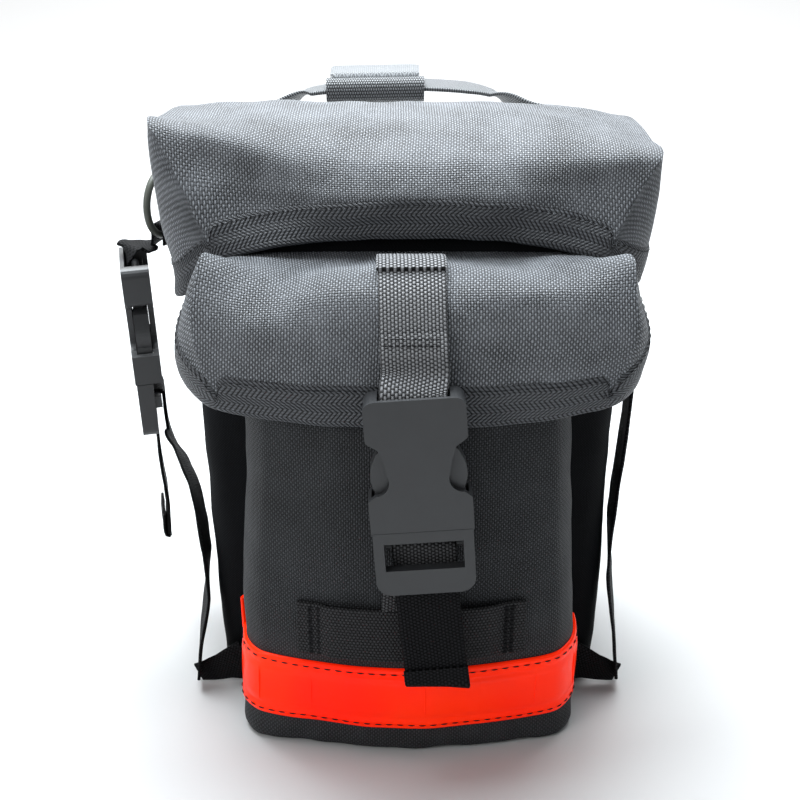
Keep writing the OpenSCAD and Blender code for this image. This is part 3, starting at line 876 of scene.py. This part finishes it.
def place(pt):
    """A point of the front buckle's own frame in the row frame."""
    x, y, z = pt
    a, t = FRONT_ROLL, FRONT_TILT
    x, z = x * math.cos(a) + z * math.sin(a), -x * math.sin(a) + z * math.cos(a)
    y, z = y * math.cos(t) - z * math.sin(t), y * math.sin(t) + z * math.cos(t)
    return (FRONT_AT[0] + x, FRONT_AT[1] + y, FRONT_AT[2] + z)


def round_bar(bar, r, first, last, steps):
    """Points (y, z) round a bar, from the first angle to the last in degrees."""
    turns = [math.radians(first + (last - first) * i / steps) for i in range(steps + 1)]
    return [(bar[0] + r * math.cos(a), bar[1] + r * math.sin(a)) for a in turns]


molle_path = []
molle_normals = []
for x in (-41, -36, -33, -28, -15, 0, 15, 28, 35, 38, 43):
    p, n = pocket_at(0.5 + x / 189, 60)
    molle_path.append(p + n * (1.0 if abs(x) > 32 else 2.4))
    molle_normals.append(n)
molle = strap("molle_webbing", molle_path, [(0, 0, 1)] * 11, 25, 1.4, "bag", shaded_molle_webbing,
              wobble=0.05, seed=2)
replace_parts(molle, "molle_strip")
tacks = []
for i, dx in ((1, 0), (2, 0), (-2, 0), (-3, 0)):
    for k in range(4):
        p = np.array(molle_path[i]) + molle_normals[i] * 0.75 + np.array([k * 0.35, 0, 0])
        tacks.append((np.array([p + (0, 0, -12), p + (0, 0, 12)]), np.array([molle_normals[i]] * 2)))
stitch_mesh("molle_tacks", tacks, "bag", thread, 1.6, 0.2, 0.3, lift=0.1)

# the loop goes with the latch, and the sewn-on length below it stays on the pocket
loop_points = [(0.8, -40), (0.8, -32), (0.82, -25)] + round_bar(LADDER, 2.35, 180, 0, 6)
loop_points += [(5.6, -30), (5.6, -40), (5.4, -48), (5.0, -54)]
strap("closure_loop_webbing", [place((0, y, z)) for y, z in loop_points], [(1, 0, -0.07)] * len(loop_points),
      24.6, 1.3, "front_latch", shaded_closure_cloth, seed=5)
anchor_path = [(2.0, -99.3, 82), (1.6, -98.6, 75), (1.2, -97.4, 66), (1, -97.2, 52)]
closure = strap("closure_webbing", anchor_path, [(1, 0, -0.04)] * 4, 24.4, 1.3, "bag", shaded_closure_cloth, seed=21)
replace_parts(closure, "closure_strap")
tail_points = ((0, 0.8, -41.6), (0.2, 0.6, -50), (0.6, 0.2, -62), (1.2, -0.2, -74), (1.6, -0.2, -84))
tail = strap("closure_tail_webbing", [place(p) for p in tail_points], [(1, 0, -0.07)] * 5, 25, 1.5,
             "front_tail", shaded_webbing, seed=6)
fold_points = ((1.6, 0.1, -85.2), (1.6, -1.5, -84.6), (1.3, -1.75, -80), (1.2, -1.6, -76.6))
strap("closure_tail_hem", [place(p) for p in fold_points], [(1, 0, -0.07)] * 4, 25.8, 1.4,
      "front_tail", shaded_webbing, seed=7)
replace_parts(tail, "closure_tail")

strap_path = [(0.6, -60.5, 206.2), (0.6, -66, 207.5), (0.8, -73, 208.3), (1.0, -80, 205.4), (1.2, -85.6, 199),
              (1.5, -90.2, 189), (1.8, -93.0, 180), (2.0, -94.4, 172), (2.2, -94.9, 166)]
flap_webbing = strap("flap_webbing", strap_path, [(1, 0, 0)] * 9, 25, 1.5, "flap", webbing,
                     wobble=0.05, seed=8)
hem = [(0.6, -62.5, 207.7), (0.6, -66, 208.8), (0.8, -73, 209.6), (0.9, -78.5, 208)]
strap("flap_webbing_hem", hem, [(1, 0, 0)] * 4, 26.0, 1.5, "flap", webbing, seed=9)
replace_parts(flap_webbing, "flap_strap")
front_points = [(1.9, 41.5), (3.0, 37)] + round_bar((0.4, 33), 2.7, 0, -180, 4) + [(-2.3, 36), (-1.2, 41)]
loop_path = [(2.1, -95.2, 172)] + [place((0, y, z)) for y, z in front_points]
loop_path += [(2.2, -96.6, 174), (1.9, -95.0, 181), (1.7, -92.7, 186.5), (1.6, -91.9, 188)]
loop = strap("front_loop_webbing", loop_path, [(1, 0, -0.02)] * len(loop_path), 24.8, 1.3, None, webbing,
             wobble=0.05, seed=10)
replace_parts(loop, "front_strap_loop")
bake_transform(loop)
ends = []
for y, z in ((-93.6, 186.4), (-94.4, 184.2)):
    ends.append((np.array([(-9.5, y, z), (12.8, y, z)]), np.array([(0, -1, 0.3)] * 2)))
stitch_mesh("flap_webbing_tacks", ends, "flap", thread, 1.7, 0.4, 0.28, lift=0.25)

def paint(names, material):
    for n in names:
        nodes[n].data.materials.clear()
        nodes[n].data.materials.append(material)


moulded = ("front_buckle_female", "front_buckle_male", "front_prong_left", "front_prong_right",
           "side_buckle_female", "side_buckle_male", "side_prong_front", "side_prong_rear")
paint(moulded, plastic)
for n in moulded:
    m = nodes[n].modifiers.new("edges", "BEVEL")
    m.width = 1.0 * MM
    m.segments = 3
    m.limit_method = "ANGLE"
    m.angle_limit = math.radians(38)
    m.harden_normals = True
paint(("d_ring_left", "d_ring_right"), ring_plastic)
paint(("base_board",), board)
paint(("body_loop_strip", "lid_hook_strip"), hook_cloth)
paint(("handle_anchors",), webbing)


# ---------------------------------------------------------------- handle

SEWN_Y = 56             # the webbing's ends lie flat over the anchors, at this distance back
STITCH_BOX = ((-4.5, -8), (4.5, -8), (4.5, 8), (-4.5, 8), (-4.5, -8))
handle_path = [(-81, SEWN_Y, 227), (-74, SEWN_Y, 227.5), (-67, 56.6, 229.4), (-60, 59.8, 233.2),
               (-52.5, 64.4, 239), (-45, 67.4, 243), (-20, 68, 245.6), (5, 68, 246.2), (28, 68, 244.8),
               (39, 67.2, 242.4), (46.5, 64.6, 239), (54, 60, 233.6), (61, 57, 229.8), (68, SEWN_Y, 227.8),
               (75, SEWN_Y, 227.2)]
handle_turn = [90, 90, 78, 52, 26, 4, 0, 0, 0, 4, 26, 52, 78, 90, 90]
handle_across = [(0, math.cos(math.radians(a)), -math.sin(math.radians(a))) for a in handle_turn]
handle_webbing = strap("handle_webbing", handle_path, handle_across, 22, 1.8, None, grey_webbing,
                       seed=12)
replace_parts(handle_webbing, "handle_strap")
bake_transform(handle_webbing)
sewn = []
for x in (-75, 69.5):
    box = np.array([(x + dx, SEWN_Y + 0.9, 227.5 + dz) for dx, dz in STITCH_BOX])
    sewn.append((box, np.array([(0, 1, 0)] * 5)))
stitch_mesh("handle_end_stitches", sewn, "bag", thread, 2.2, 1.0, 0.25, lift=0.1)


def grip_tube(name, outline, sizes, thick, material):
    """A tube along X, from an outline of (y, z) about the handle's middle, with a size at each x."""
    rows = []
    for x, size in sizes:
        rows.append([(x, 68 + y * size, 245.2 + (x + 14) * 0.02 + z * size) for y, z in outline])
    g = loft(rows, 90, 40, closed=True)
    g[:, -1] = g[:, 0]
    tube = build(name, [g], material)
    thicken(tube, thick, -1)
    creased(tube, 50)
    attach(tube, "handle")
    return tube


roll_outline = [(-3.2, 1.2), (-3.6, 4.0), (-6.0, 5.6), (-9.0, 5.6), (-11.6, 4.0), (-12.6, 1.0), (-12.2, -2.6),
                (-9.6, -5.0), (-6.0, -5.2), (-3.6, -3.0), (-3.2, 1.2)]
roll_sizes = ((-36.5, 0.98), (-34, 1.0), (-15, 1.01), (4, 1.0), (7.5, 0.98))
grip_tube("handle_grip_roll", roll_outline, roll_sizes, 1.4, grey_webbing)
cover_outline = [(-6.5, 5.9), (-2, 7.2), (4, 7.4), (10, 6.8), (12.6, 4.6), (12.8, 0.5), (11.6, -3.6),
                 (7, -4.8), (1, -5.2), (-3.4, -4.6), (-2.6, 0), (-3.0, 3.6), (-6.5, 5.9)]
cover_sizes = ((-34.5, 0.96), (-33, 1.0), (-15, 1.0), (2, 1.0), (5.2, 0.96))
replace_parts(grip_tube("handle_grip_wrap", cover_outline, cover_sizes, 1.2, twill), "handle_wrap")


# ---------------------------------------------------------------- side hardware

# by side, -1 left and 1 right: a ring's middle, the way its face looks, and the way along its plane
ring_at = {-1: np.array([-107.0, 22, 204]), 1: np.array([100.8, 30, 197])}
ring_out = {-1: np.array([-0.94, 0.35, 0]), 1: np.array([1.0, 0, 0])}
ring_along = {-1: (0.35, 0.94, 0), 1: (0, 1, 0)}


def ring_pass(s, r=2.8, rise=3.6):
    """Points round the lower side of a ring, from the inner leg to the outer one."""
    p = ring_at[s] - np.array([0, 0, 14.0])
    n = ring_out[s]
    up = np.array([0, 0, 1.0])
    return [p - n * r, p - n * r + up * rise, p - n * r * 0.7 + up * (r * 0.7 + rise), p + up * (r + rise),
            p + n * r * 0.7 + up * (r * 0.7 + rise), p + n * r + up * rise, p + n * r]


side_at = np.array([-119.0, 12, 142.5])
side_roll = math.radians(-2)
side_yaw = math.radians(12.5)
side_n = (math.cos(side_yaw), math.sin(side_yaw))
side_w = (-math.sin(side_yaw), math.cos(side_yaw), 0)


def side_place(y, z):
    """A point on the middle line of the side buckle's frame (y thickness, z length) in the row frame."""
    c, s = math.cos(side_roll), math.sin(side_roll)
    return side_at + np.array([c * side_n[0] * y + s * z, side_n[1] * y, c * z - s * side_n[0] * y])


def side_points(points):
    return [side_place(y, z) for y, z in points]


upper = [(-104.6, 20.9, 186.4)] + ring_pass(-1)
upper += [(-110.3, 23.2, 186.9), (-113, 23.6, 184.9), (-118.3, 18.6, 185.2)]
upper += side_points([(-1.4, 44.6), (-2.4, 40)] + round_bar((0.4, 33), 2.65, -180, 0, 4) + [(3, 37.5)])
across = [ring_along[-1]] * 9 + [(0.2, 1, 0), (-0.3, 1, 0), (-0.7, 0.7, 0)] + [side_w] * 7
side_ring = strap("side_ring_webbing", upper, across, 15, 1.2, "bag", shaded_webbing, seed=13)
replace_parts(side_ring, "side_strap_loop")

lower = side_points([(0.75, -42)] + round_bar(LADDER, 2.45, 180, 0, 4) + [(5.6, -41)])
lower += [(-110.2, 10.5, 95.5), (-103.5, -1, 90.5), (-95.5, -18, 82), (-90, -33, 62), (-89.8, -40, 42),
          (-93, -44.5, 22), (-94.8, -46.6, 5)]
lower_across = [side_w] * 7 + [(-0.2, 0.95, -0.2), (0, 0.9, -0.5), (0, 0.9, -0.3), (0, 0.9, -0.1),
                               (-0.2, 0.9, 0), (-0.12, 0.9, 0), (-0.1, 0.9, 0)]
side_lower = strap("side_lower_webbing", lower, lower_across, 19, 1.4, None, shaded_webbing, wobble=0.4, seed=14)
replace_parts(side_lower, "side_lower_strap")
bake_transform(side_lower)
tail_points = side_points(((0.8, -43), (0.6, -60), (1.4, -80), (0.4, -94), (0.6, -96)))
side_tail = strap("side_tail_webbing", tail_points, [side_w] * 5, 22, 1.5, "side_tail_end", shaded_webbing,
                  wobble=0.4, seed=15)
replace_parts(side_tail, "side_tail")
tail_fold = side_points(((0.6, -96.4), (-1.2, -95.6), (-1.6, -90), (-0.9, -84)))
strap("side_tail_hem", tail_fold, [side_w] * 4, 22.4, 1.4, "side_tail_end", shaded_webbing, wobble=0.3, seed=18)

right = [(97.6, 29.5, 168), (98, 30, 176)] + ring_pass(1)
right += [(103.4, 29.6, 177), (101.6, 26, 166), (98.5, 4, 146), (95.2, -20, 126), (89.6, -34, 80),
          (89.4, -40, 55), (92.8, -44.5, 25), (94.8, -46.6, 5)]
across = [ring_along[1]] * 9 + [(0, 1, 0), (0, 1, -0.1), (0, 1, -0.4), (0, 1, -0.3), (0, 0.9, -0.2),
                                (0.2, 0.9, 0), (0.12, 0.9, 0), (0.1, 0.9, 0)]
side_right = strap("side_right_webbing", right, across, 17, 1.4, "bag", shaded_webbing, wobble=0.3, seed=16)
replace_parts(side_right, "side_strap_right")

# each tab's way round the body and through its ring, seen from above, and its height
ring_tabs = {
    "left": (206, [(-82, 46.6), (-90, 46.5), (-96.4, 45.3), (-98.9, 41.5), (-98.9, 37), (-99.5, 34.2),
                   (-100.6, 30.9), (-102.2, 29.4), (-104.4, 29.2), (-105.8, 30.8), (-106, 33),
                   (-104.8, 36.4), (-103.6, 39), (-102, 42)]),
    "right": (199, [(82, 46.6), (90, 46.5), (96.4, 46), (98.2, 43.6), (98.2, 41), (98.9, 38.7),
                    (100.8, 37.7), (102.8, 38.7), (103.5, 41), (103.5, 44.4), (102.4, 47.3),
                    (99.6, 48.6), (96, 48.6)])}
wing_line = ((72.8, 12.5), (78, 11), (84, 9), (89, 7.4), (94.6, 6.4))       # distance out and height
for s, side in ((-1, "left"), (1, "right")):
    height, outline = ring_tabs[side]
    tab = strap("ring_tab_webbing_" + side, [(x, y, height) for x, y in outline], [(0, 0, 1)] * len(outline),
                15, 1.1, "bag", shaded_webbing, seed=17)
    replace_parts(tab, "d_ring_tab_" + side)
    wing = [(s * out, -49.9, z) for out, z in wing_line]
    g, uv = strap_grid(wing, [(0, 0, 1)] * 5, 22, 1.3)
    taper = np.interp(np.linspace(0, 1, g.shape[0]), [0, 0.45, 1], [1.0, 0.6, 0.4])[:, None]
    mid = g.mean(axis=1, keepdims=True)
    g[..., 2] = mid[..., 2] + (g[..., 2] - mid[..., 2]) * taper
    wing_obj = build("wing_webbing_" + side, [(g, uv), cap(g, uv, 0), cap(g, uv, -1)], shaded_webbing,
                     weld=0.02)
    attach(wing_obj, "bag")
    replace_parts(wing_obj, "bottom_tab_" + side)


# ---------------------------------------------------------------- stage

floor_mat = Shade("floor", 0.95, 0.05).finish((0.46, 0.46, 0.46))
bpy.ops.mesh.primitive_plane_add(size=14, location=(0, 2.0, -0.0002))
floor = bpy.context.object
floor.name = "floor"
floor.data.materials.append(floor_mat)

world = bpy.data.worlds.new("world")
bpy.context.scene.world = world
world.use_nodes = True
world.node_tree.nodes["Background"].inputs[0].default_value = (0.95, 0.98, 1.0, 1)
world.node_tree.nodes["Background"].inputs[1].default_value = 0.42


def light(name, at, target, size, power, color=(1, 1, 1)):
    data = bpy.data.lights.new(name, "AREA")
    data.shape = "RECTANGLE"
    data.size, data.size_y = size
    data.energy = power
    data.color = color
    o = bpy.data.objects.new(name, data)
    o.location = at
    o.rotation_euler = (Vector(target) - Vector(at)).to_track_quat("-Z", "Y").to_euler()
    bpy.context.scene.collection.objects.link(o)


light("top", (-0.12, 0.35, 1.25), (0, 0, 0.12), (1.0, 0.8), 50, (0.90, 0.96, 1.0))
light("far", (0, 2.4, 2.2), (0, 1.9, 0), (3.2, 2.4), 130)
light("side", (-0.95, -0.75, 0.7), (0, 0, 0.12), (0.5, 0.5), 6)

cam = bpy.data.cameras.new("camera")
cam.lens = 56.25
cam.sensor_width = 36
cam_obj = bpy.data.objects.new("camera", cam)
cam_obj.location = (-0.0034, -0.5112, 0.3571)
cam_obj.rotation_euler = (math.radians(65), 0, 0)
bpy.context.scene.collection.objects.link(cam_obj)
bpy.context.scene.camera = cam_obj
bpy.context.scene.view_settings.view_transform = "Standard"

bpy.context.view_layer.update()
